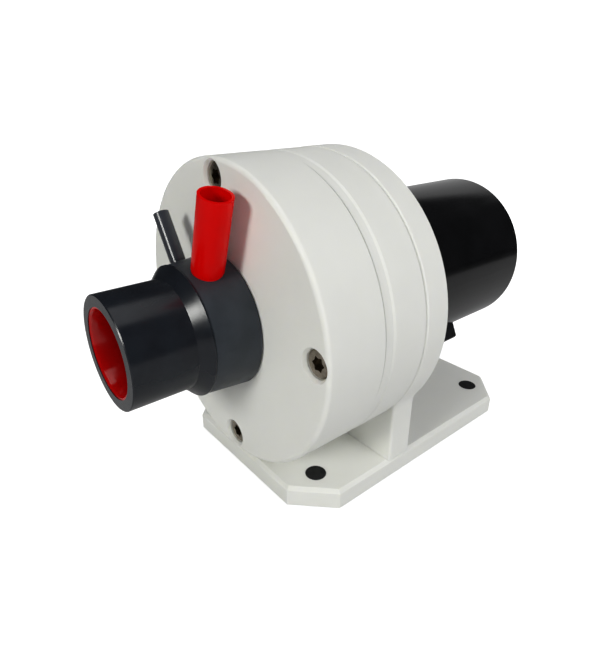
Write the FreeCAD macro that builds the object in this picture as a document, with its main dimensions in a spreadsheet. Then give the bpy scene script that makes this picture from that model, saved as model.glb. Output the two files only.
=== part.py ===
import FreeCAD, Part
import Sketcher
import os
import re

# A wave maker pump: round white casing on a base plate, grey suction fitting with a red venturi,
# and a canned motor behind. Millimetres, +Z up. The pump axis runs along Y, suction towards -Y.
# The origin is on the standing surface, below the middle of the whole pump.

SIZES = {
    # base
    "base_y": 30.65,
    "foot_height": 3.0,
    "base_width": 146.0,
    "base_length": 205.5,
    "base_thick": 13.0,
    "base_cut": 22.6,
    "base_bevel": 2.2,
    "foot_x": 51.4,
    "foot_y": 80.7,
    "foot_stem_r": 6.5,
    "foot_flange_r": 9.5,
    "foot_bevel": 0.8,
    "foot_proud": 0.3,
    # the pump axis
    "axis_height": 111.3,
    "axis_x": 10.85,
    "front_y": -77.2,
    # casing
    "casing_r": 90.0,
    "rim_round": 2.4,
    "split_y": 38.0,
    "plate_y": 70.5,
    "plate_thick": 19.0,
    "plate_r": 90.3,
    "plate_round": 1.8,
    "plate_bevel": 1.2,
    "plate_sweep": 14.0,
    "groove_depth": 0.6,
    "groove_length": 6.4,
    "groove_slope": 1.6,
    "front_gap": 1.2,
    "rear_gap": 0.9,
    "gap_deep": 2.0,
    "chamber_r": 62.0,
    "front_wall": 12.0,
    "spigot_r": 32.0,
    "plate_hole_r": 24.0,
    # casing screws
    "bolt_r": 79.5,
    "bolt_turn": 2.2,
    "screw_r": 4.0,
    "screw_hole_r": 4.3,
    "screw_head_r": 7.6,
    "screw_sink_r": 7.9,
    "screw_sink": 8.5,
    "sink_mouth_r": 9.2,
    "sink_mouth_deep": 2.0,
    "screw_head": 6.0,
    "screw_end": 84.5,
    "head_bevel": 0.8,
    "star_outer": 4.4,
    "star_inner": 3.2,
    "star_deep": 4.0,
    "insert_r": 5.5,
    "insert_deep": 16.0,
    # casing seals
    "seal_r": 68.0,
    "seal_half": 1.2,
    "seal_gap": 2.0,
    "squeeze": 0.02,
    # foot screws, through the base into the rear plate
    "foot_screw_in": 25.0,
    "foot_screw_out": 55.0,
    "foot_screw_deep": 20.0,
    "foot_screw_sunk": 0.5,
    "foot_hex_r": 3.0,
    # suction fitting
    "body_r": 36.9,
    "body_length": 27.4,
    "body_bore_r": 27.0,
    "body_front_edge": 0.5,
    "body_rear_r": 39.0,
    "body_gap": 0.9,
    "body_gap_deep": 1.2,
    "tail_r": 31.0,
    "tail": 2.8,
    "socket_r": 31.0,
    "socket_end": 69.1,
    "socket_bore_r": 24.6,
    "socket_edge": 0.5,
    "shoulder_r": 37.2,
    "shoulder_start": 34.0,
    "shoulder_length": 6.0,
    "nozzle_recess": 0.5,
    "nozzle_length": 43.8,
    "nozzle_lip": 0.9,
    "nozzle_mouth_r": 22.4,
    "throat_r": 12.5,
    "throat_start": 32.6,
    "throat_end": 36.6,
    "bell_start": 12.6,
    "bell_r": 20.5,
    "bell_curve": 29.0,
    "suction_seal_r": 34.4,
    "suction_seal_half": 0.9,
    "suction_seal_gap": 1.1,
    # tubes in the suction body, at angles from straight up about the pump axis
    "tube_foot": 28.0,
    "tube_bare": 38.8,
    "tube_step": 0.4,
    "air_tube_y": 15.0,
    "air_tube_r": 8.9,
    "air_tube_bore": 7.3,
    "air_tube_top": 80.6,
    "air_tube_angle": 18.6,
    "bleed_tube_y": 15.6,
    "bleed_tube_r": 4.5,
    "bleed_tube_bore": 2.9,
    "bleed_tube_top": 67.5,
    "bleed_tube_angle": -31.8,
    # outlet on the -X side
    "outlet_y": 54.4,
    "outlet_drop": 23.5,
    "outlet_r": 20.0,
    "outlet_bore_r": 11.0,
    "outlet_socket_r": 16.0,
    "outlet_socket_deep": 18.0,
    "outlet_spigot_r": 13.2,
    "outlet_boss_r": 15.0,
    "outlet_boss_end": 90.5,
    "outlet_face_r": 15.2,
    "outlet_face_x": 84.0,
    "outlet_inner_x": 62.0,
    "outlet_length": 50.0,
    "outlet_seal_half": 1.0,
    # isolation can and motor
    "can_r": 27.4,
    "can_wall": 2.0,
    "can_flange_r": 51.0,
    "can_flange": 4.0,
    "can_seal_r": 37.1,
    "can_seal_gap": 1.5,
    "can_end": 182.0,
    "can_step": 4.0,
    "can_cap": 3.0,
    "motor_y": 89.5,
    "motor_r": 55.9,
    "motor_wall": 4.0,
    "motor_end": 3.7,
    "motor_edge": 0.6,
    "motor_length": 134.0,
    "motor_flange_thick": 10.0,
    "motor_bolt_r": 44.0,
    "motor_screw_r": 3.0,
    "motor_hole_r": 3.2,
    "motor_head_r": 5.2,
    "motor_head": 6.0,
    "motor_shank": 25.0,
    "motor_hex_r": 2.6,
    "motor_hex_deep": 3.0,
    "motor_sink_r": 5.4,
    "motor_sink": 7.0,
    "motor_insert_r": 4.4,
    "carrier_r": 33.8,
    "carrier_bore": 6.0,
    "carrier_flange": 7.0,
    "carrier_length": 13.0,
    "carrier_floor": 3.0,
    "flow_hole_at": 18.0,
    "flow_hole_r": 2.0,
    "flow_holes": 6,
    "seat_r": 12.0,
    "bearing_r": 8.0,
    "bearing_bore": 4.05,
    "bearing_length": 10.0,
    "stator_y": 125.0,
    "stator_length": 50.0,
    "stator_r": 50.5,
    "yoke_r": 44.0,
    "tooth_r": 30.2,
    "tooth_half": 5.0,
    "teeth": 6,
    "coil_half": 12.0,
    "coil_low": 32.0,
    "coil_high": 42.0,
    "coil_turn": 6.0,
    "coil_gap": 0.1,
    "board_bore": 31.0,
    "board_thick": 1.6,
    "resin_bore": 30.0,
    # rotor
    "shaft_start": 25.0,
    "shaft_end": 191.5,
    "shaft_edge": 0.5,
    "shaft_r": 4.0,
    "hub_r": 9.0,
    "rotor_r": 26.2,
    "rotor_start": 119.0,
    "rotor_end": 177.0,
    "sleeve_wall": 2.0,
    "sleeve_start": 98.5,
    "sleeve_end": 179.3,
    "front_washer": 95.9,
    "rear_washer_end": 181.6,
    "magnet_r": 25.0,
    "magnet_bore": 10.0,
    # needle wheel
    "wheel_y": 64.0,
    "wheel_thick": 4.0,
    "wheel_r": 46.0,
    "hub_front": 34.0,
    "hub_rear": 17.7,
    "needle_r": 1.1,
    "needle_length": 37.0,
    "needle_first": 16.0,
    "needle_step": 6.0,
    "needle_spokes": 12,
    "washer_thick": 1.5,
    "nut_r": 7.0,
    "nut_edge": 1.5,
    "nut_length": 8.5,
    "nut_deep": 4.8,
    # cable entry, on the lower +X side of the motor
    "entry_angle": 155.0,
    "entry_y": 151.6,
    "entry_length": 34.0,
    "entry_half": 10.2,
    "entry_root": 50.3,
    "entry_top": 66.9,
    "entry_bevel": 1.0,
    "gland_r": 3.9,
    "gland_bore": 2.8,
    "gland_height": 60.6,
    "gland_start": 2.2,
    "gland_length": 14.0,
    "gland_seal_length": 2.2,
    "gland_nut_start": 10.4,
    "gland_nut_length": 9.8,
    "gland_nut_deep": 8.0,
    "gland_nut_wall": 1.4,
    "gland_nut_edge": 1.0,
}

doc = FreeCAD.newDocument("wave_maker_pump")
sheet = doc.addObject("Spreadsheet::Sheet", "Dims")
for row, (alias, size) in enumerate(SIZES.items(), start=1):
    sheet.set("A%d" % row, alias)
    sheet.set("B%d" % row, str(size))
    sheet.setAlias("B%d" % row, alias)
doc.recompute()

EXPORTED = []


def bound(text):
    """A size such as 'casing_r - rim_bevel' as an expression that reads the sheet."""
    return re.sub(r"[a-z_]+", lambda m: "Dims." + m[0] if m[0] in SIZES else m[0], str(text))


def number(text):
    """The present value of such a size."""
    value = sheet.evalExpression(bound(text))
    return float(getattr(value, "Value", value))


def new_body(name):
    body = doc.addObject("PartDesign::Body", name)
    body.Label = name
    EXPORTED.append(body)
    return body


def new_sketch(body, name, plane, raised="0", turn=0.0):
    """A sketch on one of the body's own planes, raised along its normal and turned about its upright."""
    sketch = body.newObject("Sketcher::SketchObject", body.Name + "_" + name)
    support = [f for f in body.Origin.OriginFeatures if f.Role == plane][0]
    sketch.AttachmentSupport = [(support, "")]
    sketch.MapMode = "FlatFace"
    twist = FreeCAD.Rotation(FreeCAD.Vector(0, 1, 0), turn)
    sketch.AttachmentOffset = FreeCAD.Placement(FreeCAD.Vector(0, 0, number(raised)), twist)
    if raised != "0":
        sketch.setExpression(".AttachmentOffset.Base.z", bound(raised))
    return sketch


def pin_point(sketch, item, end, x, y):
    """Ties a point of the sketch to the given size along each axis."""
    for text, kind, axis in ((x, "DistanceX", -2), (y, "DistanceY", -1)):
        value = number(text)
        if abs(value) < 1e-9:
            sketch.addConstraint(Sketcher.Constraint("PointOnObject", item, end, axis))
        elif value > 0:
            at = sketch.addConstraint(Sketcher.Constraint(kind, -1, 1, item, end, value))
            sketch.setExpression("Constraints[%d]" % at, bound(text))
        else:
            at = sketch.addConstraint(Sketcher.Constraint(kind, item, end, -1, 1, -value))
            sketch.setExpression("Constraints[%d]" % at, "-1 * ( %s )" % bound(text))


def edge(sketch, start, end, radius=None, turn="left"):
    """A straight edge or an arc, and which of its own points come first and last.

    An arc turns left, right, or "over": left by more than half a circle.
    """
    if radius is None:
        return sketch.addGeometry(Part.LineSegment(start, end), False), 1, 2
    chord = end - start
    left = FreeCAD.Vector(-chord.y, chord.x, 0).normalize()
    reach = number(radius)
    rise = (reach**2 - (chord.Length / 2) ** 2) ** 0.5
    if turn == "right":
        middle = (start + end) * 0.5 + left * (reach - rise)
        item = sketch.addGeometry(Part.Arc(end, middle, start), False)
    else:
        sag = reach + rise if turn == "over" else reach - rise
        middle = (start + end) * 0.5 - left * sag
        item = sketch.addGeometry(Part.Arc(start, middle, end), False)
    at = sketch.addConstraint(Sketcher.Constraint("Radius", item, reach))
    sketch.setExpression("Constraints[%d]" % at, bound(radius))
    return (item, 2, 1) if turn == "right" else (item, 1, 2)


def outline(sketch, corners):
    """A closed outline through the corners. A corner's radius and turn make the edge after it an arc."""
    points = [FreeCAD.Vector(number(corner[0]), number(corner[1]), 0) for corner in corners]
    edges = []
    for k, corner in enumerate(corners):
        after = points[(k + 1) % len(points)]
        edges.append(edge(sketch, points[k], after, *corner[2:]))
    for k, (item, _, last) in enumerate(edges):
        following, first, _ = edges[(k + 1) % len(edges)]
        sketch.addConstraint(Sketcher.Constraint("Coincident", item, last, following, first))
    for (item, first, _), corner in zip(edges, corners):
        pin_point(sketch, item, first, corner[0], corner[1])


def ring(sketch, x, y, r):
    """A circle of radius r about the point x, y."""
    centre = FreeCAD.Vector(number(x), number(y), 0)
    item = sketch.addGeometry(Part.Circle(centre, FreeCAD.Vector(0, 0, 1), number(r)), False)
    at = sketch.addConstraint(Sketcher.Constraint("Radius", item, number(r)))
    sketch.setExpression("Constraints[%d]" % at, bound(r))
    if abs(number(x)) < 1e-9 and abs(number(y)) < 1e-9:
        sketch.addConstraint(Sketcher.Constraint("Coincident", item, 3, -1, 1))
    else:
        pin_point(sketch, item, 3, x, y)


def pad(body, sketch, length, backward=False):
    """Grows the sketch along its normal, or against it."""
    grown = body.newObject("PartDesign::Pad", sketch.Name + "_pad")
    grown.Profile = sketch
    grown.Length = number(length)
    grown.setExpression("Length", bound(length))
    grown.Reversed = backward
    sketch.Visibility = False
    return grown


def pocket(body, sketch, length=None, forward=False, taper=None):
    """Cuts the sketch against its normal, or along it; all the way through without a length.

    With a taper, the hole narrows by that angle as it goes in.
    """
    before = body.Tip.Shape.Volume if body.Tip.Shape.isNull() is False else 0.0
    cut = body.newObject("PartDesign::Pocket", sketch.Name + "_cut")
    cut.Profile = sketch
    if length is None:
        cut.Type = "ThroughAll"
    else:
        cut.Length = number(length)
        cut.setExpression("Length", bound(length))
    cut.Reversed = forward
    if taper:
        cut.TaperAngle = -number(taper)
        cut.setExpression("TaperAngle", "-1 * " + bound(taper))
    sketch.Visibility = False
    doc.recompute()
    if not cut.Shape.Volume < before - 1e-6:
        raise RuntimeError(cut.Name + " cuts nothing")
    return cut


def revolve(body, sketch):
    """Turns the sketch about the body's own Y axis."""
    spun = body.newObject("PartDesign::Revolution", body.Name + "_turned")
    spun.Profile = sketch
    spun.ReferenceAxis = (sketch, ["V_Axis"])
    spun.Angle = 360.0
    sketch.Visibility = False
    doc.recompute()


def turned(name, corners, *more):
    """A body turned about its own Y axis from corners given as radius, distance along the axis."""
    body = new_body(name)
    sketch = new_sketch(body, "profile", "XY_Plane")
    outline(sketch, corners)
    for loop in more:
        outline(sketch, loop)
    revolve(body, sketch)
    return body


def washer(name, inner, outer, thick):
    """A flat ring about the body's own Y axis."""
    return turned(name, [(inner, "0"), (outer, "0"), (outer, thick), (inner, thick)])


def o_ring(name, radius, half):
    """A round-section seal about the body's own Y axis."""
    body = new_body(name)
    sketch = new_sketch(body, "profile", "XY_Plane")
    ring(sketch, radius, "0", half)
    revolve(body, sketch)
    return body


def around(body, originals, count):
    """Repeats features evenly about the body's own Y axis."""
    axis = [f for f in body.Origin.OriginFeatures if f.Role == "Y_Axis"][0]
    pattern = body.newObject("PartDesign::PolarPattern", originals[0].Name + "_around")
    pattern.Originals = originals
    pattern.Axis = (axis, [""])
    pattern.Angle = 360.0
    pattern.Occurrences = int(number(count))
    pattern.setExpression("Occurrences", bound(count))
    body.Tip = pattern
    doc.recompute()
    return pattern


def place(body, x="0", y="0", z="0", rotation=None):
    """Sets the body's place from sizes in the sheet."""
    at = FreeCAD.Vector(number(x), number(y), number(z))
    body.Placement = FreeCAD.Placement(at, rotation or FreeCAD.Rotation())
    for letter, text in (("x", x), ("y", y), ("z", z)):
        if text != "0":
            body.setExpression(".Placement.Base." + letter, bound(text))


def on_axis(body, distance):
    """Puts a turned body on the pump axis, its front this far behind the casing's front face."""
    place(body, "axis_x", "front_y + " + str(distance), "axis_height")


def edges_at(shape, test):
    """Names of the edges whose two ends and middle all pass the test."""
    names = []
    for k, edge in enumerate(shape.Edges, start=1):
        middle = edge.valueAt((edge.FirstParameter + edge.LastParameter) / 2)
        points = [v.Point for v in edge.Vertexes] + [middle]
        if all(test(p) for p in points):
            names.append("Edge%d" % k)
    return names


def bevel(body, feature, names, size):
    """Cuts the named edges of the feature back at 45 degrees."""
    doc.recompute()
    cut = body.newObject("PartDesign::Chamfer", body.Name + "_bevel")
    cut.Base = (feature, names)
    cut.Size = number(size)
    cut.setExpression("Size", bound(size))
    doc.recompute()
    return cut


def rounding(body, feature, names, radius):
    """Rounds the named edges of the feature."""
    doc.recompute()
    cut = body.newObject("PartDesign::Fillet", body.Name + "_rounding")
    cut.Base = (feature, names)
    cut.Radius = number(radius)
    cut.setExpression("Radius", bound(radius))
    doc.recompute()
    return cut


def star(sketch, x, y, points, outer, inner):
    """A star with this many points, or a hexagon when outer and inner are one size."""
    corners = []
    for step in range(2 * points):
        reach = outer if step % 2 == 0 else inner
        angle = 180 * step / points
        corners.append(("%s + %s * cos(%g)" % (x, reach, angle), "%s + %s * sin(%g)" % (y, reach, angle)))
    outline(sketch, corners)


def hexagon(sketch, x, y, reach):
    """A hexagon with corners this far from its middle."""
    star(sketch, x, y, 3, reach, reach)


SCREW_SPOTS = []
for turn in (0, 90, 180, 270):
    SCREW_SPOTS.append(("bolt_r * cos(bolt_turn + %d)" % turn, "bolt_r * sin(bolt_turn + %d)" % turn))
MOTOR_SPOTS = []
for across in (1, -1):
    for upward in (1, -1):
        MOTOR_SPOTS.append(("%d * motor_bolt_r * cos(45)" % across, "%d * motor_bolt_r * sin(45)" % upward))
FOOT_SPOTS = []
for across in (1, -1):
    for along in (1, -1):
        FOOT_SPOTS.append(("%d * foot_x" % across, "%d * foot_y" % along))
FOOT_SCREW_XS = ("foot_screw_in", "foot_screw_out", "-1 * foot_screw_in", "-1 * foot_screw_out")
PLATE_MID = "front_y - base_y + plate_y + plate_thick / 2"

# ---------------------------------------------------------------- base plate and feet
base = new_body("base_plate")
sketch = new_sketch(base, "plan", "XY_Plane")
half_w = "base_width / 2"
half_l = "base_length / 2"
outline(
    sketch,
    [
        (half_w + " - base_cut", "-1 * " + half_l),
        (half_w, "-1 * " + half_l + " + base_cut"),
        (half_w, half_l + " - base_cut"),
        (half_w + " - base_cut", half_l),
        ("-1 * " + half_w + " + base_cut", half_l),
        ("-1 * " + half_w, half_l + " - base_cut"),
        ("-1 * " + half_w, "-1 * " + half_l + " + base_cut"),
        ("-1 * " + half_w + " + base_cut", "-1 * " + half_l),
    ],
)
slab = pad(base, sketch, "base_thick")
doc.recompute()
top = number("base_thick")
bevel(base, slab, edges_at(slab.Shape, lambda p: abs(p.z - top) < 1e-6), "base_bevel")
sketch = new_sketch(base, "foot_holes", "XY_Plane")
for x, y in FOOT_SPOTS:
    ring(sketch, x, y, "foot_stem_r")
pocket(base, sketch, forward=True)
sketch = new_sketch(base, "screw_holes", "XY_Plane")
for x in FOOT_SCREW_XS:
    ring(sketch, x, PLATE_MID, "screw_hole_r")
pocket(base, sketch, forward=True)
sketch = new_sketch(base, "screw_sinks", "XY_Plane")
for x in FOOT_SCREW_XS:
    ring(sketch, x, PLATE_MID, "screw_sink_r")
pocket(base, sketch, "screw_head + foot_screw_sunk", forward=True)
place(base, "axis_x", "base_y", "foot_height")

feet = new_body("rubber_feet")
sketch = new_sketch(feet, "flanges", "XY_Plane")
for x, y in FOOT_SPOTS:
    ring(sketch, x, y, "foot_flange_r")
flanges = pad(feet, sketch, "foot_height")
doc.recompute()
bevel(feet, flanges, edges_at(flanges.Shape, lambda p: abs(p.z) < 1e-6), "foot_bevel")
sketch = new_sketch(feet, "stems", "XY_Plane", "foot_height")
for x, y in FOOT_SPOTS:
    ring(sketch, x, y, "foot_stem_r")
stems = pad(feet, sketch, "base_thick + foot_proud")
doc.recompute()
crown = number("foot_height + base_thick + foot_proud")
bevel(feet, stems, edges_at(stems.Shape, lambda p: abs(p.z - crown) < 1e-6), "foot_proud")
place(feet, "axis_x", "base_y")

screws = new_body("foot_screws")
sketch = new_sketch(screws, "heads", "XY_Plane")
for x in FOOT_SCREW_XS:
    ring(sketch, x, PLATE_MID, "screw_head_r")
pad(screws, sketch, "screw_head")
sketch = new_sketch(screws, "shanks", "XY_Plane", "screw_head")
for x in FOOT_SCREW_XS:
    ring(sketch, x, PLATE_MID, "screw_r")
pad(screws, sketch, "base_thick - foot_screw_sunk - screw_head + foot_screw_deep")
sketch = new_sketch(screws, "recesses", "XY_Plane")
for x in FOOT_SCREW_XS:
    hexagon(sketch, x, PLATE_MID, "foot_hex_r")
doc.recompute()
pocket(screws, sketch, "star_deep", forward=True)
place(screws, "axis_x", "base_y", "foot_height + foot_screw_sunk")

# ---------------------------------------------------------------- casing
front = turned(
    "front_casing",
    [
        ("spigot_r", "0"),
        ("casing_r - rim_round", "0", "rim_round"),
        ("casing_r", "rim_round"),
        ("casing_r", "split_y"),
        ("seal_r + seal_gap", "split_y"),
        ("seal_r + seal_gap", "split_y - 2 * seal_half"),
        ("seal_r - seal_gap", "split_y - 2 * seal_half"),
        ("seal_r - seal_gap", "split_y"),
        ("chamber_r", "split_y"),
        ("chamber_r", "front_wall"),
        ("spigot_r", "front_wall"),
    ],
)
sketch = new_sketch(front, "screw_holes", "XZ_Plane")
for x, z in SCREW_SPOTS:
    ring(sketch, x, z, "screw_hole_r")
pocket(front, sketch)
sketch = new_sketch(front, "screw_sinks", "XZ_Plane")
for x, z in SCREW_SPOTS:
    ring(sketch, x, z, "screw_sink_r")
pocket(front, sketch, "screw_sink")
sketch = new_sketch(front, "sink_mouths", "XZ_Plane")
for x, z in SCREW_SPOTS:
    ring(sketch, x, z, "sink_mouth_r")
pocket(front, sketch, "sink_mouth_deep", taper="atan( ( sink_mouth_r - screw_sink_r ) / sink_mouth_deep )")
on_axis(front, 0)

# A shallow groove follows the front seam, and a narrow gap marks each seam.
volute = turned(
    "volute_ring",
    [
        ("chamber_r", "0"),
        ("casing_r - gap_deep", "0"),
        ("casing_r - gap_deep", "front_gap"),
        ("casing_r - groove_depth", "front_gap"),
        ("casing_r - groove_depth", "groove_length"),
        ("casing_r", "groove_length + groove_slope"),
        ("casing_r", "plate_y - split_y - rear_gap"),
        ("casing_r - gap_deep", "plate_y - split_y - rear_gap"),
        ("casing_r - gap_deep", "plate_y - split_y"),
        ("chamber_r", "plate_y - split_y"),
    ],
)
sketch = new_sketch(volute, "screw_holes", "XZ_Plane")
for x, z in SCREW_SPOTS:
    ring(sketch, x, z, "screw_hole_r")
pocket(volute, sketch)
sketch = new_sketch(volute, "outlet_hole", "YZ_Plane")
ring(sketch, "outlet_y - split_y", "-1 * outlet_drop", "outlet_spigot_r")
pocket(volute, sketch)
sketch = new_sketch(volute, "outlet_face", "YZ_Plane", "-1 * outlet_face_x")
ring(sketch, "outlet_y - split_y", "-1 * outlet_drop", "outlet_face_r")
pocket(volute, sketch)
on_axis(volute, "split_y")

rear = new_body("rear_plate")
sketch = new_sketch(rear, "face", "XZ_Plane")
# Seen along the pump axis, the round plate sweeps in to a straight-sided foot.
SWEEP_X = "( base_width / 2 + plate_sweep )"
SWEEP_Z = "( -1 * ( ( plate_r + plate_sweep ) ^ 2 - %s ^ 2 ) ^ 0.5 )" % SWEEP_X
REACH = "plate_r / ( plate_r + plate_sweep )"
FOOT_Z = "-1 * ( axis_height - foot_height - base_thick )"
outline(
    sketch,
    [
        ("%s * %s" % (SWEEP_X, REACH), "%s * %s" % (SWEEP_Z, REACH), "plate_r", "over"),
        ("-1 * %s * %s" % (SWEEP_X, REACH), "%s * %s" % (SWEEP_Z, REACH), "plate_sweep", "right"),
        ("-1 * base_width / 2", SWEEP_Z),
        ("-1 * base_width / 2", FOOT_Z),
        ("base_width / 2", FOOT_Z),
        ("base_width / 2", SWEEP_Z, "plate_sweep", "right"),
    ],
)
plate = pad(rear, sketch, "plate_thick", backward=True)
doc.recompute()
level = number(FOOT_Z)
face = edges_at(plate.Shape, lambda p: abs(p.y) < 1e-6 and abs(p.z - level) > 1e-3)
rounding(rear, plate, face, "plate_round")
back = number("plate_thick")
rim = edges_at(rear.Tip.Shape, lambda p: abs(p.y - back) < 1e-6 and abs(p.z - level) > 1e-3)
bevel(rear, rear.Tip, rim, "plate_bevel")
sketch = new_sketch(rear, "hub_hole", "XZ_Plane")
ring(sketch, "0", "0", "plate_hole_r")
pocket(rear, sketch)
sketch = new_sketch(rear, "carrier_seat", "XZ_Plane", "carrier_flange - plate_thick")
ring(sketch, "0", "0", "carrier_r")
pocket(rear, sketch)
sketch = new_sketch(rear, "seal_groove", "XZ_Plane")
ring(sketch, "0", "0", "seal_r + seal_gap")
ring(sketch, "0", "0", "seal_r - seal_gap")
pocket(rear, sketch, "2 * seal_half")
sketch = new_sketch(rear, "insert_holes", "XZ_Plane")
for x, z in SCREW_SPOTS:
    ring(sketch, x, z, "insert_r")
pocket(rear, sketch, "insert_deep")
sketch = new_sketch(rear, "motor_holes", "XZ_Plane")
for x, z in MOTOR_SPOTS:
    ring(sketch, x, z, "motor_hole_r")
pocket(rear, sketch)
sketch = new_sketch(rear, "motor_sinks", "XZ_Plane")
for x, z in MOTOR_SPOTS:
    ring(sketch, x, z, "motor_sink_r")
pocket(rear, sketch, "motor_sink")
sketch = new_sketch(rear, "foot_holes", "XY_Plane", "-1 * ( axis_height - foot_height - base_thick )")
for x in FOOT_SCREW_XS:
    ring(sketch, x, "plate_thick / 2", "screw_r")
pocket(rear, sketch, "foot_screw_deep + 2", forward=True)
on_axis(rear, "plate_y")

# Star-recess screws sit just below the front face and run through to inserts in the rear plate.
screws = new_body("casing_screws")
sketch = new_sketch(screws, "heads", "XZ_Plane")
for x, z in SCREW_SPOTS:
    ring(sketch, x, z, "screw_head_r")
heads = pad(screws, sketch, "screw_head", backward=True)
doc.recompute()
bevel(screws, heads, edges_at(heads.Shape, lambda p: abs(p.y) < 1e-6), "head_bevel")
sketch = new_sketch(screws, "shanks", "XZ_Plane", "-1 * screw_head")
for x, z in SCREW_SPOTS:
    ring(sketch, x, z, "screw_r")
pad(screws, sketch, "screw_end - screw_sink", backward=True)
sketch = new_sketch(screws, "stars", "XZ_Plane")
for x, z in SCREW_SPOTS:
    star(sketch, x, z, 6, "star_outer", "star_inner")
doc.recompute()
pocket(screws, sketch, "star_deep")
on_axis(screws, "screw_sink - screw_head")

inserts = new_body("casing_inserts")
sketch = new_sketch(inserts, "rings", "XZ_Plane")
for x, z in SCREW_SPOTS:
    ring(sketch, x, z, "insert_r")
    ring(sketch, x, z, "screw_r")
pad(inserts, sketch, "insert_deep", backward=True)
on_axis(inserts, "plate_y")

on_axis(o_ring("front_casing_seal", "seal_r", "seal_half - squeeze"), "split_y - seal_half")
on_axis(o_ring("rear_casing_seal", "seal_r", "seal_half - squeeze"), "plate_y + seal_half")

# ---------------------------------------------------------------- suction fitting
# The body widens a little towards the casing and stops just short of its face.
suction = turned(
    "suction_body",
    [
        ("tail_r", "0"),
        ("body_r - body_front_edge", "0"),
        ("body_r", "body_front_edge"),
        ("body_rear_r", "body_length - body_gap"),
        ("body_rear_r - body_gap_deep", "body_length - body_gap"),
        ("body_rear_r - body_gap_deep", "body_length"),
        ("suction_seal_r + suction_seal_gap", "body_length"),
        ("suction_seal_r + suction_seal_gap", "body_length - 2 * suction_seal_half"),
        ("suction_seal_r - suction_seal_gap", "body_length - 2 * suction_seal_half"),
        ("suction_seal_r - suction_seal_gap", "body_length"),
        ("spigot_r", "body_length"),
        ("spigot_r", "body_length + front_wall"),
        ("body_bore_r", "body_length + front_wall"),
        ("body_bore_r", "tail"),
        ("tail_r", "tail"),
    ],
)
for name in ("air_tube", "bleed_tube"):
    sketch = new_sketch(suction, name + "_hole", "XY_Plane", turn=number(name + "_angle"))
    ring(sketch, "0", "body_length - %s_y" % name, name + "_r - tube_step")
    pocket(suction, sketch, forward=True)
on_axis(suction, "-1 * body_length")
on_axis(o_ring("suction_seal", "suction_seal_r", "suction_seal_half - squeeze"), "-1 * suction_seal_half")

# The socket ends in a cone and a thin rim that laps the body's front edge.
socket = turned(
    "suction_socket",
    [
        ("socket_bore_r", "0"),
        ("socket_r - socket_edge", "0"),
        ("socket_r", "socket_edge"),
        ("socket_r", "socket_end - shoulder_start"),
        ("shoulder_r", "socket_end - shoulder_start + shoulder_length"),
        ("shoulder_r", "socket_end - body_length"),
        ("tail_r", "socket_end - body_length"),
        ("tail_r", "socket_end - body_length + tail"),
        ("socket_bore_r", "socket_end - body_length + tail"),
    ],
)
on_axis(socket, "-1 * socket_end")

# A bell mouth narrows to the throat, and a straight cone opens behind it.
nozzle = turned(
    "venturi_nozzle",
    [
        ("socket_bore_r - nozzle_lip", "0"),
        ("socket_bore_r", "0"),
        ("socket_bore_r", "nozzle_length"),
        ("throat_r + 1.5", "nozzle_length"),
        ("throat_r", "throat_end"),
        ("throat_r", "throat_start", "bell_curve"),
        ("bell_r", "bell_start"),
        ("nozzle_mouth_r", "4"),
        ("socket_bore_r - 1.4", "1"),
    ],
)
on_axis(nozzle, "-1 * ( socket_end - nozzle_recess )")

# Each tube's foot is a hair thinner than the rest, which stops on the body.
for name in ("air_tube", "bleed_tube"):
    tube = new_body("air_intake_tube" if name == "air_tube" else name)
    for part, start, end, radius in (
        ("foot", "tube_foot", "tube_bare", name + "_r - tube_step"),
        ("bare", "tube_bare", name + "_top", name + "_r"),
    ):
        sketch = new_sketch(tube, part, "XY_Plane", start)
        ring(sketch, "0", "0", radius)
        ring(sketch, "0", "0", name + "_bore")
        pad(tube, sketch, end + " - " + start)
    doc.recompute()
    lean = FreeCAD.Rotation(FreeCAD.Vector(0, 1, 0), number(name + "_angle"))
    place(tube, "axis_x", "front_y - %s_y" % name, "axis_height", lean)

# ---------------------------------------------------------------- outlet
outlet = turned(
    "outlet_socket",
    [
        ("outlet_bore_r", "0"),
        ("outlet_spigot_r", "0"),
        ("outlet_spigot_r", "outlet_face_x - outlet_inner_x + 2 * outlet_seal_half"),
        ("outlet_boss_r", "outlet_face_x - outlet_inner_x + 2 * outlet_seal_half"),
        ("outlet_boss_r", "outlet_boss_end - outlet_inner_x"),
        ("outlet_r", "outlet_boss_end - outlet_inner_x"),
        ("outlet_r", "outlet_length"),
        ("outlet_socket_r", "outlet_length"),
        ("outlet_socket_r", "outlet_length - outlet_socket_deep"),
        ("outlet_bore_r", "outlet_length - outlet_socket_deep"),
    ],
)
quarter = FreeCAD.Rotation(FreeCAD.Vector(0, 0, 1), 90)
place(outlet, "axis_x - outlet_inner_x", "front_y + outlet_y", "axis_height - outlet_drop", quarter)
seal = o_ring("outlet_seal", "outlet_spigot_r + outlet_seal_half", "outlet_seal_half - squeeze")
seal_x = "axis_x - outlet_face_x - outlet_seal_half"
place(seal, seal_x, "front_y + outlet_y", "axis_height - outlet_drop", quarter)

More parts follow.
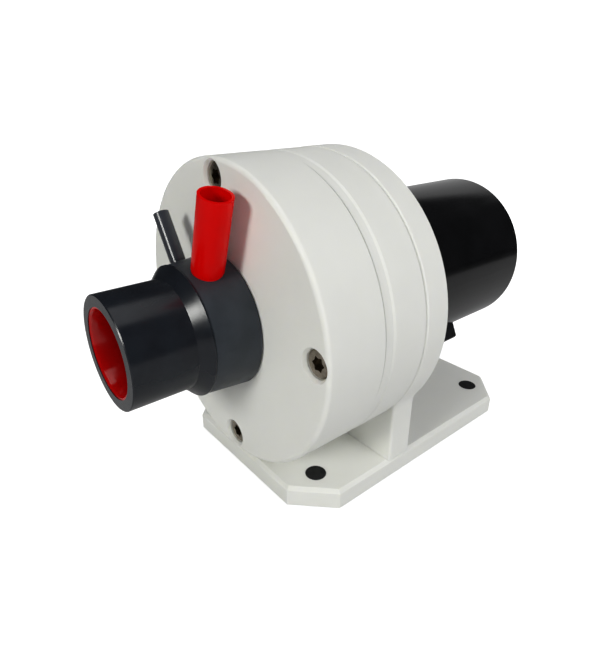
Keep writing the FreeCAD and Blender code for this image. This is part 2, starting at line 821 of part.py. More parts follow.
# ---------------------------------------------------------------- rotor chamber
can = turned(
    "isolation_can",
    [
        ("can_r", "0"),
        ("can_seal_r - can_seal_gap", "0"),
        ("can_seal_r - can_seal_gap", "2 * seal_half"),
        ("can_seal_r + can_seal_gap", "2 * seal_half"),
        ("can_seal_r + can_seal_gap", "0"),
        ("can_flange_r", "0"),
        ("can_flange_r", "can_flange"),
        ("can_r + can_wall", "can_flange"),
        ("can_r + can_wall", "can_end + can_step - motor_y"),
        ("seat_r + can_cap", "can_end + can_step - motor_y"),
        ("seat_r + can_cap", "can_end + bearing_length + can_cap - motor_y"),
        ("0", "can_end + bearing_length + can_cap - motor_y"),
        ("0", "can_end + bearing_length - motor_y"),
        ("seat_r", "can_end + bearing_length - motor_y"),
        ("seat_r", "can_end - motor_y"),
        ("can_r", "can_end - motor_y"),
    ],
)
sketch = new_sketch(can, "screw_holes", "XZ_Plane")
for x, z in MOTOR_SPOTS:
    ring(sketch, x, z, "motor_hole_r")
pocket(can, sketch, "can_flange + 1")
on_axis(can, "motor_y")
on_axis(o_ring("isolation_seal", "can_seal_r", "seal_half - squeeze"), "motor_y + seal_half")

flange = washer("motor_flange", "can_r + can_wall", "motor_r - motor_wall", "motor_flange_thick")
sketch = new_sketch(flange, "insert_holes", "XZ_Plane")
for x, z in MOTOR_SPOTS:
    ring(sketch, x, z, "motor_insert_r")
pocket(flange, sketch)
on_axis(flange, "motor_y + can_flange")

inserts = new_body("motor_inserts")
sketch = new_sketch(inserts, "rings", "XZ_Plane")
for x, z in MOTOR_SPOTS:
    ring(sketch, x, z, "motor_insert_r")
    ring(sketch, x, z, "motor_screw_r")
pad(inserts, sketch, "motor_flange_thick", backward=True)
on_axis(inserts, "motor_y + can_flange")

screws = new_body("motor_screws")
sketch = new_sketch(screws, "heads", "XZ_Plane")
for x, z in MOTOR_SPOTS:
    ring(sketch, x, z, "motor_head_r")
pad(screws, sketch, "motor_head", backward=True)
sketch = new_sketch(screws, "shanks", "XZ_Plane", "-1 * motor_head")
for x, z in MOTOR_SPOTS:
    ring(sketch, x, z, "motor_screw_r")
pad(screws, sketch, "motor_shank", backward=True)
sketch = new_sketch(screws, "recesses", "XZ_Plane")
for x, z in MOTOR_SPOTS:
    hexagon(sketch, x, z, "motor_hex_r")
doc.recompute()
pocket(screws, sketch, "motor_hex_deep")
on_axis(screws, "plate_y + motor_sink - motor_head")

carrier = turned(
    "front_bearing_carrier",
    [
        ("carrier_bore", "0"),
        ("carrier_r", "0"),
        ("carrier_r", "carrier_flange"),
        ("can_r - 0.1", "carrier_flange"),
        ("can_r - 0.1", "carrier_length"),
        ("seat_r", "carrier_length"),
        ("seat_r", "carrier_floor"),
        ("carrier_bore", "carrier_floor"),
    ],
)
sketch = new_sketch(carrier, "flow_hole", "XZ_Plane")
ring(sketch, "0", "flow_hole_at", "flow_hole_r")
hole = pocket(carrier, sketch)
around(carrier, [hole], "flow_holes")
on_axis(carrier, "motor_y - carrier_flange")

FRONT_BEARING = "motor_y - carrier_flange + carrier_floor"
for name, start in (("front_bearing", FRONT_BEARING), ("rear_bearing", "can_end")):
    on_axis(washer(name + "_seat", "bearing_r", "seat_r", "bearing_length"), start)
    on_axis(washer(name, "bearing_bore", "bearing_r", "bearing_length"), start)

# ---------------------------------------------------------------- motor
housing = turned(
    "motor_can",
    [
        ("motor_r - motor_wall", "0"),
        ("motor_r", "0"),
        ("motor_r", "motor_length - motor_edge"),
        ("motor_r - motor_edge", "motor_length"),
        ("0", "motor_length"),
        ("0", "motor_length - motor_end"),
        ("motor_r - motor_wall", "motor_length - motor_end"),
    ],
)
sketch = new_sketch(housing, "cable_hole", "XY_Plane", turn=number("entry_angle"))
ring(sketch, "0", "entry_y + entry_length / 2 - motor_y", "gland_bore")
pocket(housing, sketch, forward=True)
on_axis(housing, "motor_y")

core = washer("stator_core", "yoke_r", "stator_r", "stator_length")
sketch = new_sketch(core, "tooth", "XZ_Plane")
outline(
    sketch,
    [
        ("-1 * tooth_half", "tooth_r"),
        ("tooth_half", "tooth_r"),
        ("tooth_half", "yoke_r + 1"),
        ("-1 * tooth_half", "yoke_r + 1"),
    ],
)
tooth = pad(core, sketch, "stator_length", backward=True)
doc.recompute()
around(core, [tooth], "teeth")
on_axis(core, "stator_y")

coils = new_body("stator_coils")
sketch = new_sketch(coils, "turn", "XY_Plane", "coil_low")
outline(
    sketch,
    [
        ("-1 * coil_half", "-1 * coil_turn"),
        ("coil_half", "-1 * coil_turn"),
        ("coil_half", "stator_length + coil_turn"),
        ("-1 * coil_half", "stator_length + coil_turn"),
    ],
)
outline(
    sketch,
    [
        ("-1 * tooth_half - coil_gap", "-1 * coil_gap"),
        ("tooth_half + coil_gap", "-1 * coil_gap"),
        ("tooth_half + coil_gap", "stator_length + coil_gap"),
        ("-1 * tooth_half - coil_gap", "stator_length + coil_gap"),
    ],
)
coil = pad(coils, sketch, "coil_high - coil_low")
doc.recompute()
around(coils, [coil], "teeth")
on_axis(coils, "stator_y")

on_axis(washer("terminal_board", "board_bore", "stator_r", "board_thick"), "can_end + can_step")

# The resin fills the motor's rear end behind the board and round the can's stepped cap.
RESIN_START = "can_end + can_step + board_thick"
resin_depth = "motor_y + motor_length - motor_end - ( %s )" % RESIN_START
cap_depth = "bearing_length + can_cap - can_step - board_thick"
resin = turned(
    "potting_resin",
    [
        ("resin_bore", "0"),
        ("motor_r - motor_wall", "0"),
        ("motor_r - motor_wall", resin_depth),
        ("0", resin_depth),
        ("0", cap_depth + " + 1"),
        ("resin_bore", cap_depth + " + 1"),
    ],
)
on_axis(resin, RESIN_START)

# ---------------------------------------------------------------- rotor
shaft = turned(
    "shaft",
    [
        ("0", "0"),
        ("shaft_r - shaft_edge", "0"),
        ("shaft_r", "shaft_edge"),
        ("shaft_r", "shaft_end - shaft_start - shaft_edge"),
        ("shaft_r - shaft_edge", "shaft_end - shaft_start"),
        ("0", "shaft_end - shaft_start"),
    ],
)
on_axis(shaft, "shaft_start")

sleeve = turned(
    "rotor_sleeve",
    [
        ("shaft_r", "0"),
        ("hub_r", "0"),
        ("hub_r", "rotor_start - sleeve_start"),
        ("rotor_r", "rotor_start - sleeve_start"),
        ("rotor_r", "rotor_end - sleeve_start"),
        ("hub_r", "rotor_end - sleeve_start"),
        ("hub_r", "sleeve_end - sleeve_start"),
        ("shaft_r", "sleeve_end - sleeve_start"),
    ],
    [
        ("magnet_bore", "rotor_start - sleeve_start + sleeve_wall"),
        ("magnet_r", "rotor_start - sleeve_start + sleeve_wall"),
        ("magnet_r", "rotor_end - sleeve_start - sleeve_wall"),
        ("magnet_bore", "rotor_end - sleeve_start - sleeve_wall"),
    ],
)
on_axis(sleeve, "sleeve_start")
magnet_length = "rotor_end - rotor_start - 2 * sleeve_wall"
on_axis(washer("rotor_magnet", "magnet_bore", "magnet_r", magnet_length), "rotor_start + sleeve_wall")
on_axis(washer("front_thrust_washer", "shaft_r", "hub_r", "sleeve_start - front_washer"), "front_washer")
on_axis(washer("rear_thrust_washer", "shaft_r", "hub_r", "rear_washer_end - sleeve_end"), "sleeve_end")

wheel = turned(
    "impeller",
    [
        ("shaft_r", "-1 * hub_front"),
        ("hub_r", "-1 * hub_front"),
        ("hub_r", "0"),
        ("wheel_r", "0"),
        ("wheel_r", "wheel_thick"),
        ("hub_r", "wheel_thick"),
        ("hub_r", "hub_rear"),
        ("shaft_r", "hub_rear"),
    ],
)
on_axis(wheel, "wheel_y")

# Needles stand on the wheel's front face in rows; every second row is half a step further out.
needles = new_body("impeller_needles")
row_turn = 180 / number("needle_spokes")
for name, offset, row_shift in (("row", 0.0, "0"), ("row_between", row_turn, "needle_step / 2")):
    sketch = new_sketch(needles, name, "XZ_Plane")
    for place_in_row in range(5):
        reach = "( needle_first + %d * needle_step + %s )" % (place_in_row, row_shift)
        ring(sketch, "%s * sin(%g)" % (reach, offset), "%s * cos(%g)" % (reach, offset), "needle_r")
    row = pad(needles, sketch, "needle_length")
    doc.recompute()
    around(needles, [row], "needle_spokes")
on_axis(needles, "wheel_y")

washer_start = "wheel_y - hub_front - washer_thick"
on_axis(washer("impeller_washer", "shaft_r", "hub_r - 1", "washer_thick"), washer_start)
nut = turned(
    "impeller_nut",
    [
        ("0", "0"),
        ("nut_r - nut_edge", "0"),
        ("nut_r", "nut_edge"),
        ("nut_r", "nut_length"),
        ("shaft_r", "nut_length"),
        ("shaft_r", "nut_deep"),
        ("0", "nut_deep"),
    ],
)
on_axis(nut, washer_start + " - nut_length")

# ---------------------------------------------------------------- cable entry
# Its local Z points out from the motor, and its local X points down and inwards, under the motor.
lean = FreeCAD.Rotation(FreeCAD.Vector(0, 1, 0), number("entry_angle"))
block = new_body("cable_entry_block")
sketch = new_sketch(block, "plan", "XY_Plane", "entry_root")
outline(
    sketch,
    [
        ("-1 * entry_half", "0"),
        ("entry_half", "0"),
        ("entry_half", "entry_length"),
        ("-1 * entry_half", "entry_length"),
    ],
)
lump = pad(block, sketch, "entry_top - entry_root")
doc.recompute()
crest = number("entry_top")
bevel(block, lump, edges_at(lump.Shape, lambda p: abs(p.z - crest) < 1e-6), "entry_bevel")
sketch = new_sketch(block, "motor_curve", "XZ_Plane", "1")
ring(sketch, "0", "0", "motor_r")
pocket(block, sketch)
sketch = new_sketch(block, "wire_hole", "XY_Plane")
ring(sketch, "0", "entry_length / 2", "gland_bore")
pocket(block, sketch, "gland_height", forward=True)
sketch = new_sketch(block, "gland_hole", "YZ_Plane")
ring(sketch, "entry_length / 2", "gland_height", "gland_r")
pocket(block, sketch, forward=True)
place(block, "axis_x", "front_y + entry_y", "axis_height", lean)

down = lean.multVec(FreeCAD.Vector(1, 0, 0))
gland_turn = FreeCAD.Rotation(FreeCAD.Vector(0, 1, 0), down)
gland_nut = [
    ("gland_r", "0"),
    ("gland_r + gland_nut_wall", "0"),
    ("gland_r + gland_nut_wall", "gland_nut_length - gland_nut_edge"),
    ("gland_r + gland_nut_wall - gland_nut_edge", "gland_nut_length"),
    ("gland_bore", "gland_nut_length"),
    ("gland_bore", "gland_nut_deep"),
    ("gland_r", "gland_nut_deep"),
]
for part, start in (
    (washer("cable_gland", "gland_bore", "gland_r", "gland_length"), "gland_start"),
    (washer("gland_seal", "gland_bore", "gland_r", "gland_seal_length"), "gland_start + gland_length"),
    (turned("gland_nut", gland_nut), "gland_nut_start"),
):
    spread = "axis_x + gland_height * sin(entry_angle) + ( %s ) * cos(entry_angle)" % start
    height = "axis_height + gland_height * cos(entry_angle) - ( %s ) * sin(entry_angle)" % start
    place(part, spread, "front_y + entry_y + entry_length / 2", height, gland_turn)

# ---------------------------------------------------------------- check and write
doc.recompute()
for item in doc.Objects:
    if "Invalid" in item.State or "Error" in item.State:
        raise RuntimeError("%s is %s" % (item.Label, item.State))
for body in EXPORTED:
    if body.Shape.isNull() or not body.Shape.isValid():
        raise RuntimeError(body.Label + " has no valid shape")
os.makedirs("parts", exist_ok=True)
for body in EXPORTED:
    shape = body.Shape
    shape.exportStep("parts/%s.step" % body.Label)
    box = shape.BoundBox
    counted = (body.Label, len(shape.Solids), shape.Volume, box.ZMin, box.ZMax)
    print("%-24s solids %d  volume %9.0f  z %.1f to %.1f" % counted)
print(len(EXPORTED), "parts")
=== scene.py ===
import math

import bpy
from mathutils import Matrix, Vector


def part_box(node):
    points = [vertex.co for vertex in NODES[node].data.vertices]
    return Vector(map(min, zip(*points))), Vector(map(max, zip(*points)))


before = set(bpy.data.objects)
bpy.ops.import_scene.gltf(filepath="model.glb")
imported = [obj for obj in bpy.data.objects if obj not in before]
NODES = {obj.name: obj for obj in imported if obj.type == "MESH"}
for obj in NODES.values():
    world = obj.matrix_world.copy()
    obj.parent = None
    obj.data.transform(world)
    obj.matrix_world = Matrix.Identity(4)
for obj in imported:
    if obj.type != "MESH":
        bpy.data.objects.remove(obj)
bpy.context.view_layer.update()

# A wave maker pump: white casing on a base plate, grey suction fitting with a red venturi, black motor.
# Metres, +Z up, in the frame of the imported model. The pump axis runs along Y, suction towards -Y.

MM = 0.001
MICRON = 0.001 * MM

# The pump axis, taken from the middle of the shaft.
SHAFT_LOW, SHAFT_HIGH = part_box("shaft")
AXIS = Vector(((SHAFT_LOW.x + SHAFT_HIGH.x) / 2, 0.0, (SHAFT_LOW.z + SHAFT_HIGH.z) / 2))

# Azimuths are degrees from -Y round towards +X, elevations degrees above the horizon.
# Distances are in metres, the lens and the sensor in millimetres.
CAMERA_AZIMUTH = 50.48
CAMERA_ELEVATION = 25.16
CAMERA_DISTANCE = 0.3383
CAMERA_TARGET = Vector((0.01004, -0.01962, 0.08943))
CAMERA_LENS = 30.48
SENSOR_WIDTH = 36.0

# How brightly the room and the floor glow for everything but the camera.
ROOM_GLOW = 0.035
FLOOR_GLOW = 0.02

# The camera sees the floor go from FLOOR_SEEN_NEAR to white across FLOOR_FADE, a ring about the pump.
# What the floor scatters goes from FLOOR_ALBEDO to FLOOR_ALBEDO_FAR across FLOOR_RIM.
FLOOR_HALF = 4.0
FLOOR_SEEN_NEAR = 0.7
FLOOR_FADE = (0.25, 0.8)
FLOOR_RIM = (0.9, 1.1)
FLOOR_ALBEDO = 0.58
FLOOR_ALBEDO_FAR = 0.1

WHITE = (1.0, 1.0, 1.0)
DAYLIGHT = (1.0, 1.0, 0.965)
ROOM_BLUE = (0.9, 0.95, 1.0)

# name, azimuth, elevation, distance, width, height, power in watts, colour, mirrored by glossy surfaces
LIGHTS = (
    ("window_light", 7, 22, 1.8, 0.45, 0.45, 11.9, DAYLIGHT, True),
    ("side_light", 94, 42, 1.8, 0.8, 0.9, 7.3, WHITE, False),
    ("top_light", 0, 88, 1.8, 1.4, 1.4, 5.4, WHITE, True),
    ("side_fill", 98, 15, 1.8, 1.2, 0.7, 3.7, WHITE, False),
    ("low_fill", 58, 3, 1.8, 1.2, 0.4, 1.5, WHITE, False),
    ("rear_fill", 125, 25, 1.8, 1.0, 0.8, 3.5, WHITE, False),
    ("back_fill", 238, 25, 1.8, 1.2, 0.9, 6.5, WHITE, False),
    ("rear_card", 205, 14, 2.0, 1.9, 1.3, 3.0, WHITE, True),
)


# ---------------------------------------------------------------- material layers
# A wave texture's phase in radians per unit of scaled length.
WAVE_PHASE = 20


def principled(name, **sockets):
    """A new material; its sockets are given by name with _ for a space."""
    mat = bpy.data.materials.new(name)
    mat.use_nodes = True
    for socket, value in sockets.items():
        shader_of(mat).inputs[socket.replace("_", " ")].default_value = value
    return mat


def shader_of(mat):
    """The material's Principled shader."""
    return mat.node_tree.nodes["Principled BSDF"]


def from_axis(mat, stretch=(1.0, 1.0, 1.0)):
    """Coordinates in metres measured from the pump axis, each multiplied by its stretch."""
    tree = mat.node_tree
    place = tree.nodes.new("ShaderNodeTexCoord")
    shift = tree.nodes.new("ShaderNodeMapping")
    shift.inputs["Location"].default_value = [-a * s for a, s in zip(AXIS, stretch)]
    shift.inputs["Scale"].default_value = stretch
    tree.links.new(place.outputs["Object"], shift.inputs["Vector"])
    return shift.outputs["Vector"]


def noise(mat, size, detail=4.0, stretch=(1.0, 1.0, 1.0), rough=0.55):
    """A cloudy pattern whose patches are about size metres across."""
    tree = mat.node_tree
    cloud = tree.nodes.new("ShaderNodeTexNoise")
    cloud.inputs["Scale"].default_value = 1.0 / size
    cloud.inputs["Detail"].default_value = detail
    cloud.inputs["Roughness"].default_value = rough
    tree.links.new(from_axis(mat, stretch), cloud.inputs["Vector"])
    return cloud.outputs["Fac"]


def wave(mat, pitch, kind="BANDS", distortion=0.0):
    """Bands along Y, or rings about the pump axis, pitch metres apart."""
    tree = mat.node_tree
    ripple = tree.nodes.new("ShaderNodeTexWave")
    ripple.wave_type = kind
    if kind == "BANDS":
        ripple.bands_direction = "Y"
    else:
        ripple.rings_direction = "Y"
    ripple.inputs["Scale"].default_value = 2 * math.pi / (WAVE_PHASE * pitch)
    ripple.inputs["Distortion"].default_value = distortion
    ripple.inputs["Detail"].default_value = 1.0
    tree.links.new(from_axis(mat), ripple.inputs["Vector"])
    return ripple.outputs["Fac"]


def tint(mat, pattern, dark, light, low=0.35, high=0.65):
    """Colours the surface from dark to light by the pattern."""
    tree = mat.node_tree
    ramp = tree.nodes.new("ShaderNodeValToRGB")
    ramp.color_ramp.elements[0].position = low
    ramp.color_ramp.elements[0].color = (*dark, 1.0)
    ramp.color_ramp.elements[1].position = high
    ramp.color_ramp.elements[1].color = (*light, 1.0)
    tree.links.new(pattern, ramp.inputs["Fac"])
    tree.links.new(ramp.outputs["Color"], shader_of(mat).inputs["Base Color"])


def uneven_gloss(mat, pattern, smooth, rough, low=0.3, high=0.7):
    """Varies the roughness from smooth to rough by the pattern.

    Both stay on the same side of 0.274, because denoising leaves thin lines where a surface crosses it.
    """
    tree = mat.node_tree
    spread = tree.nodes.new("ShaderNodeMapRange")
    spread.inputs["From Min"].default_value = low
    spread.inputs["From Max"].default_value = high
    spread.inputs["To Min"].default_value = smooth
    spread.inputs["To Max"].default_value = rough
    tree.links.new(pattern, spread.inputs["Value"])
    tree.links.new(spread.outputs["Result"], shader_of(mat).inputs["Roughness"])


def relief(mat, pattern, depth, strength=1.0):
    """Adds a bump of the given depth in metres on top of those already there."""
    tree = mat.node_tree
    bump = tree.nodes.new("ShaderNodeBump")
    bump.inputs["Strength"].default_value = strength
    bump.inputs["Distance"].default_value = depth
    tree.links.new(pattern, bump.inputs["Height"])
    normal = shader_of(mat).inputs["Normal"]
    if normal.is_linked:
        tree.links.new(normal.links[0].from_socket, bump.inputs["Normal"])
    tree.links.new(bump.outputs["Normal"], normal)


def turning_marks(mat, pitch, depth):
    """The fine grooves a lathe leaves: rings on the flat faces, bands along the round ones."""
    for kind in ("RINGS", "BANDS"):
        relief(mat, wave(mat, pitch, kind, distortion=0.4), depth)


# ---------------------------------------------------------------- materials
def white_plastic():
    """Machined white plastic with a satin surface that light enters by a millimetre or two."""
    mat = principled("white_plastic", Subsurface_Weight=0.5, Subsurface_Scale=2 * MM)
    shader_of(mat).inputs["Subsurface Radius"].default_value = (1.0, 1.0, 0.9)
    tint(mat, noise(mat, 50 * MM), dark=(0.865, 0.87, 0.83), light=(0.89, 0.895, 0.855))
    uneven_gloss(mat, noise(mat, 20 * MM), smooth=0.38, rough=0.50)
    relief(mat, noise(mat, 1.2 * MM, detail=2.0), depth=20 * MICRON, strength=0.4)
    turning_marks(mat, pitch=0.9 * MM, depth=3 * MICRON)
    return mat


def grey_matt():
    """Turned dark grey PVC."""
    mat = principled("grey_matt_pvc")
    tint(mat, noise(mat, 12 * MM), dark=(0.030, 0.036, 0.045), light=(0.039, 0.046, 0.057))
    uneven_gloss(mat, noise(mat, 6 * MM), smooth=0.38, rough=0.50)
    turning_marks(mat, pitch=0.8 * MM, depth=6 * MICRON)
    return mat


def grey_gloss():
    """Moulded dark grey PVC with a semi-gloss skin."""
    mat = principled("grey_gloss_pvc")
    cloud = noise(mat, 15 * MM, detail=2.0)
    tint(mat, cloud, dark=(0.013, 0.015, 0.020), light=(0.016, 0.019, 0.025))
    uneven_gloss(mat, noise(mat, 8 * MM, detail=2.0), smooth=0.21, rough=0.27)
    return mat


def grey_tube():
    """Extruded dark grey PVC tube."""
    mat = principled("grey_tube_pvc")
    tint(mat, noise(mat, 15 * MM), dark=(0.046, 0.051, 0.062), light=(0.058, 0.064, 0.077))
    uneven_gloss(mat, noise(mat, 6 * MM), smooth=0.18, rough=0.26)
    return mat


def red_plastic(name, shine, smooth):
    """Moulded red plastic with a semi-gloss skin."""
    mat = principled(name, Specular_IOR_Level=shine)
    tint(mat, noise(mat, 20 * MM), dark=(0.72, 0.0008, 0.0006), light=(0.77, 0.0012, 0.001))
    uneven_gloss(mat, noise(mat, 6 * MM), smooth, 1.4 * smooth)
    return mat


def red_nozzle_painted_shade(mouth=0.8, deep=0.09):
    """The red plastic inside the nozzle, with painted shade: its colour falls from mouth to deep over the
    first half, standing in for the shade deep inside the nozzle.
    """
    mat = red_plastic("red_nozzle_painted_shade", shine=0.6, smooth=0.13)
    low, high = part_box("venturi_nozzle")
    tree = mat.node_tree
    place = tree.nodes.new("ShaderNodeSeparateXYZ")
    tree.links.new(from_axis(mat), place.inputs["Vector"])
    # Painted shade: the base colour is scaled down with depth into the nozzle, from mouth to deep.
    fade = tree.nodes.new("ShaderNodeMapRange")
    fade.inputs["From Min"].default_value = low.y
    fade.inputs["From Max"].default_value = (low.y + high.y) / 2
    fade.inputs["To Min"].default_value = mouth
    fade.inputs["To Max"].default_value = deep
    tree.links.new(place.outputs["Y"], fade.inputs["Value"])
    shade = tree.nodes.new("ShaderNodeVectorMath")
    shade.operation = "SCALE"
    base = shader_of(mat).inputs["Base Color"]
    tree.links.new(base.links[0].from_socket, shade.inputs["Vector"])
    tree.links.new(fade.outputs["Result"], shade.inputs["Scale"])
    tree.links.new(shade.outputs["Vector"], base)
    return mat


def motor_black():
    """Glossy black drawn tube, with faint streaks along its length."""
    mat = principled("motor_black")
    tint(mat, noise(mat, 20 * MM), dark=(0.006, 0.006, 0.0065), light=(0.009, 0.009, 0.010))
    uneven_gloss(mat, noise(mat, 10 * MM, stretch=(1.0, 0.15, 1.0)), smooth=0.12, rough=0.18)
    streaks = noise(mat, 12 * MM, detail=2.0, stretch=(1.0, 0.2, 1.0))
    relief(mat, streaks, depth=50 * MICRON, strength=0.4)
    return mat


def rubber():
    """Matt black rubber with a fine grain."""
    mat = principled("black_rubber", Roughness=0.75)
    tint(mat, noise(mat, 3 * MM), dark=(0.010, 0.010, 0.011), light=(0.020, 0.020, 0.021))
    relief(mat, noise(mat, 0.8 * MM), depth=0.1 * MM)
    return mat


def screw_steel():
    """Stainless steel, slightly brown."""
    mat = principled("screw_steel", Metallic=1.0)
    tint(mat, noise(mat, 2 * MM), dark=(0.27, 0.235, 0.185), light=(0.40, 0.355, 0.29))
    uneven_gloss(mat, noise(mat, 1.5 * MM), smooth=0.19, rough=0.27)
    return mat


def bright_metal(name, dark, light, size=4 * MM):
    """Turned bare metal."""
    mat = principled(name, Metallic=1.0)
    tint(mat, noise(mat, size), dark, light)
    uneven_gloss(mat, noise(mat, size / 2), smooth=0.28, rough=0.45)
    turning_marks(mat, pitch=0.6 * MM, depth=6 * MICRON)
    return mat


def laminations(sheet=0.5 * MM):
    """Stacked steel sheets."""
    mat = principled("stator_steel", Metallic=1.0, Roughness=0.45)
    tint(mat, wave(mat, sheet), dark=(0.18, 0.18, 0.19), light=(0.42, 0.42, 0.44))
    relief(mat, wave(mat, sheet), depth=0.1 * MM)
    return mat


def windings(wire=0.8 * MM):
    """Layers of enamelled copper wire."""
    mat = principled("copper", Metallic=1.0, Roughness=0.3)
    tint(mat, noise(mat, 2 * MM), dark=(0.50, 0.17, 0.06), light=(0.72, 0.30, 0.12))
    relief(mat, wave(mat, wire, "RINGS"), depth=0.2 * MM)
    return mat


def plain_plastic(name, dark, light, smooth, rough):
    """A moulded, cast or sintered piece with a slight grain."""
    mat = principled(name)
    tint(mat, noise(mat, 8 * MM), dark, light)
    uneven_gloss(mat, noise(mat, 3 * MM), smooth, rough)
    relief(mat, noise(mat, 2 * MM), depth=40 * MICRON, strength=0.6)
    return mat


# material: (the nodes it finishes, the record's material slot)
MATERIALS = {
    white_plastic(): ("base_plate front_casing volute_ring rear_plate", "white_plastic"),
    grey_matt(): ("suction_body impeller_nut", "grey_matt_pvc"),
    grey_gloss(): ("suction_socket outlet_socket", "grey_gloss_pvc"),
    grey_tube(): ("bleed_tube", "grey_gloss_pvc"),
    red_plastic("red_tube", shine=0.15, smooth=0.14): ("air_intake_tube", "red_plastic"),
    # The nozzle's material carries painted shade, darker deeper inside.
    red_nozzle_painted_shade(): ("venturi_nozzle", "red_plastic"),
    motor_black(): ("motor_can", "black_motor_plastic"),
    rubber(): (
        "rubber_feet front_casing_seal rear_casing_seal suction_seal outlet_seal isolation_seal "
        "front_bearing_seat rear_bearing_seat impeller_washer gland_seal",
        "black_rubber",
    ),
    screw_steel(): ("casing_screws foot_screws motor_screws", "steel"),
    bright_metal("aluminium", (0.55, 0.55, 0.56), (0.72, 0.72, 0.74)): ("motor_flange", "aluminium"),
    bright_metal("insert_steel", (0.46, 0.44, 0.40), (0.62, 0.60, 0.56)): (
        "casing_inserts motor_inserts",
        "steel",
    ),
    laminations(): ("stator_core", "stator_steel"),
    windings(): ("stator_coils", "copper"),
    plain_plastic("ceramic", (0.72, 0.69, 0.62), (0.80, 0.78, 0.72), 0.12, 0.22): (
        "shaft front_bearing rear_bearing front_thrust_washer rear_thrust_washer",
        "ceramic",
    ),
    plain_plastic("board", (0.01, 0.09, 0.03), (0.02, 0.16, 0.06), 0.3, 0.4): ("terminal_board", "board"),
    plain_plastic("resin", (0.008, 0.008, 0.008), (0.02, 0.02, 0.02), 0.15, 0.26): (
        "potting_resin",
        "resin",
    ),
    plain_plastic("magnet", (0.03, 0.03, 0.032), (0.06, 0.06, 0.065), 0.5, 0.7): ("rotor_magnet", "magnet"),
    plain_plastic("white_nylon", (0.74, 0.74, 0.70), (0.80, 0.80, 0.77), 0.35, 0.5): (
        "impeller impeller_needles",
        "white_nylon",
    ),
    plain_plastic("inner_black", (0.014, 0.014, 0.015), (0.026, 0.026, 0.028), 0.35, 0.5): (
        "isolation_can rotor_sleeve front_bearing_carrier",
        "black_plastic_inner",
    ),
    plain_plastic("gland_black", (0.008, 0.008, 0.009), (0.016, 0.016, 0.018), 0.3, 0.45): (
        "cable_entry_block cable_gland gland_nut",
        "black_plastic",
    ),
}


def dress(node, mat):
    """Gives a carried-over node its finished material."""
    piece = NODES[node]
    piece.data.materials.clear()
    piece.data.materials.append(mat)


def dress_all():
    """Finishes every node of the frame, and stops if one is left over."""
    done = set()
    for mat, (names, slot) in MATERIALS.items():
        for node in names.split():
            dress(node, mat)
            done.add(node)
    left = sorted(set(NODES) - done)
    if left:
        raise RuntimeError("no material for " + ", ".join(left))


# ---------------------------------------------------------------- floor, light and camera
def towards(azimuth, elevation):
    """The unit direction at this azimuth, from -Y round towards +X, and elevation above the horizon."""
    a = math.radians(azimuth)
    e = math.radians(elevation)
    return Vector((math.sin(a) * math.cos(e), -math.cos(a) * math.cos(e), math.sin(e)))


def aim(obj, target):
    """Turns a camera or a light to look at the target."""
    obj.rotation_euler = (target - obj.location).to_track_quat("-Z", "Y").to_euler()


def softbox(name, azimuth, elevation, distance, width, height, power, colour, mirrored):
    """A soft area light that looks at the middle of the object; the camera doesn't see its face."""
    light = bpy.data.lights.new(name, "AREA")
    light.shape = "RECTANGLE"
    light.size = width
    light.size_y = height
    light.energy = power
    light.color = colour
    lamp = bpy.data.objects.new(name, light)
    lamp.location = CAMERA_TARGET + towards(azimuth, elevation) * distance
    aim(lamp, CAMERA_TARGET)
    lamp.visible_camera = False
    lamp.visible_glossy = mirrored
    bpy.context.scene.collection.objects.link(lamp)


def surroundings():
    """A white backdrop for the camera, a dim room for everything that the surfaces scatter or mirror."""
    world = bpy.data.worlds.new("studio")
    world.use_nodes = True
    tree = world.node_tree
    room = tree.nodes["Background"]
    room.inputs["Color"].default_value = (*ROOM_BLUE, 1.0)
    room.inputs["Strength"].default_value = ROOM_GLOW
    backdrop = tree.nodes.new("ShaderNodeBackground")
    backdrop.inputs["Color"].default_value = (*WHITE, 1.0)
    backdrop.inputs["Strength"].default_value = 1.0
    seen = tree.nodes.new("ShaderNodeLightPath")
    choice = tree.nodes.new("ShaderNodeMixShader")
    tree.links.new(seen.outputs["Is Camera Ray"], choice.inputs["Fac"])
    tree.links.new(room.outputs["Background"], choice.inputs[1])
    tree.links.new(backdrop.outputs["Background"], choice.inputs[2])
    tree.links.new(choice.outputs["Shader"], tree.nodes["World Output"].inputs["Surface"])
    bpy.context.scene.world = world


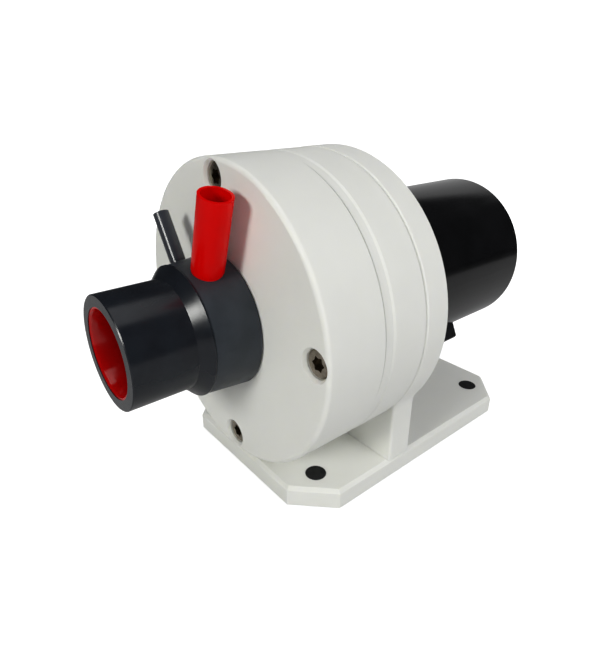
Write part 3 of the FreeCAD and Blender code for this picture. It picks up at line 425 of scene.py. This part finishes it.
def floor():
    """A pale floor that fades into the white backdrop away from the pump."""
    mesh = bpy.data.meshes.new("floor")
    half = FLOOR_HALF
    corners = [(-half, -half, 0.0), (half, -half, 0.0), (half, half, 0.0), (-half, half, 0.0)]
    mesh.from_pydata(corners, [], [(0, 1, 2, 3)])
    plane = bpy.data.objects.new("floor", mesh)
    bpy.context.scene.collection.objects.link(plane)
    mat = principled("floor", Roughness=0.6, Specular_IOR_Level=0.2)
    tree = mat.node_tree
    place = tree.nodes.new("ShaderNodeTexCoord")
    reach = tree.nodes.new("ShaderNodeVectorMath")
    reach.operation = "LENGTH"
    tree.links.new(place.outputs["Object"], reach.inputs[0])

    def by_distance(near, far, ring):
        """A value that goes from near to far across the ring, two distances from the middle."""
        fade = tree.nodes.new("ShaderNodeMapRange")
        fade.interpolation_type = "SMOOTHSTEP"
        fade.inputs["From Min"].default_value = ring[0]
        fade.inputs["From Max"].default_value = ring[1]
        fade.inputs["To Min"].default_value = near
        fade.inputs["To Max"].default_value = far
        tree.links.new(reach.outputs["Value"], fade.inputs["Value"])
        return fade.outputs["Result"]

    seen = tree.nodes.new("ShaderNodeLightPath")
    glow = tree.nodes.new("ShaderNodeMix")
    tree.links.new(seen.outputs["Is Camera Ray"], glow.inputs["Factor"])
    tree.links.new(by_distance(FLOOR_GLOW, 0.0, FLOOR_RIM), glow.inputs["A"])
    tree.links.new(by_distance(FLOOR_SEEN_NEAR, 1.0, FLOOR_FADE), glow.inputs["B"])
    shade = tree.nodes.new("ShaderNodeCombineColor")
    albedo = by_distance(FLOOR_ALBEDO, FLOOR_ALBEDO_FAR, FLOOR_RIM)
    for channel in ("Red", "Green", "Blue"):
        tree.links.new(albedo, shade.inputs[channel])
    tree.links.new(shade.outputs["Color"], shader_of(mat).inputs["Base Color"])
    shader_of(mat).inputs["Emission Color"].default_value = (*WHITE, 1.0)
    tree.links.new(glow.outputs["Result"], shader_of(mat).inputs["Emission Strength"])
    mesh.materials.append(mat)


def camera():
    """The camera that shows the pump from above its suction end."""
    data = bpy.data.cameras.new("camera")
    data.sensor_fit = "HORIZONTAL"
    data.sensor_width = SENSOR_WIDTH
    data.lens = CAMERA_LENS
    data.clip_start = 10 * MM
    eye = bpy.data.objects.new("camera", data)
    eye.location = CAMERA_TARGET + towards(CAMERA_AZIMUTH, CAMERA_ELEVATION) * CAMERA_DISTANCE
    aim(eye, CAMERA_TARGET)
    bpy.context.scene.collection.objects.link(eye)
    bpy.context.scene.camera = eye


dress_all()
surroundings()
for light in LIGHTS:
    softbox(*light)
floor()
camera()
bpy.context.scene.view_settings.view_transform = "Standard"
bpy.context.scene.view_settings.look = "Medium High Contrast"
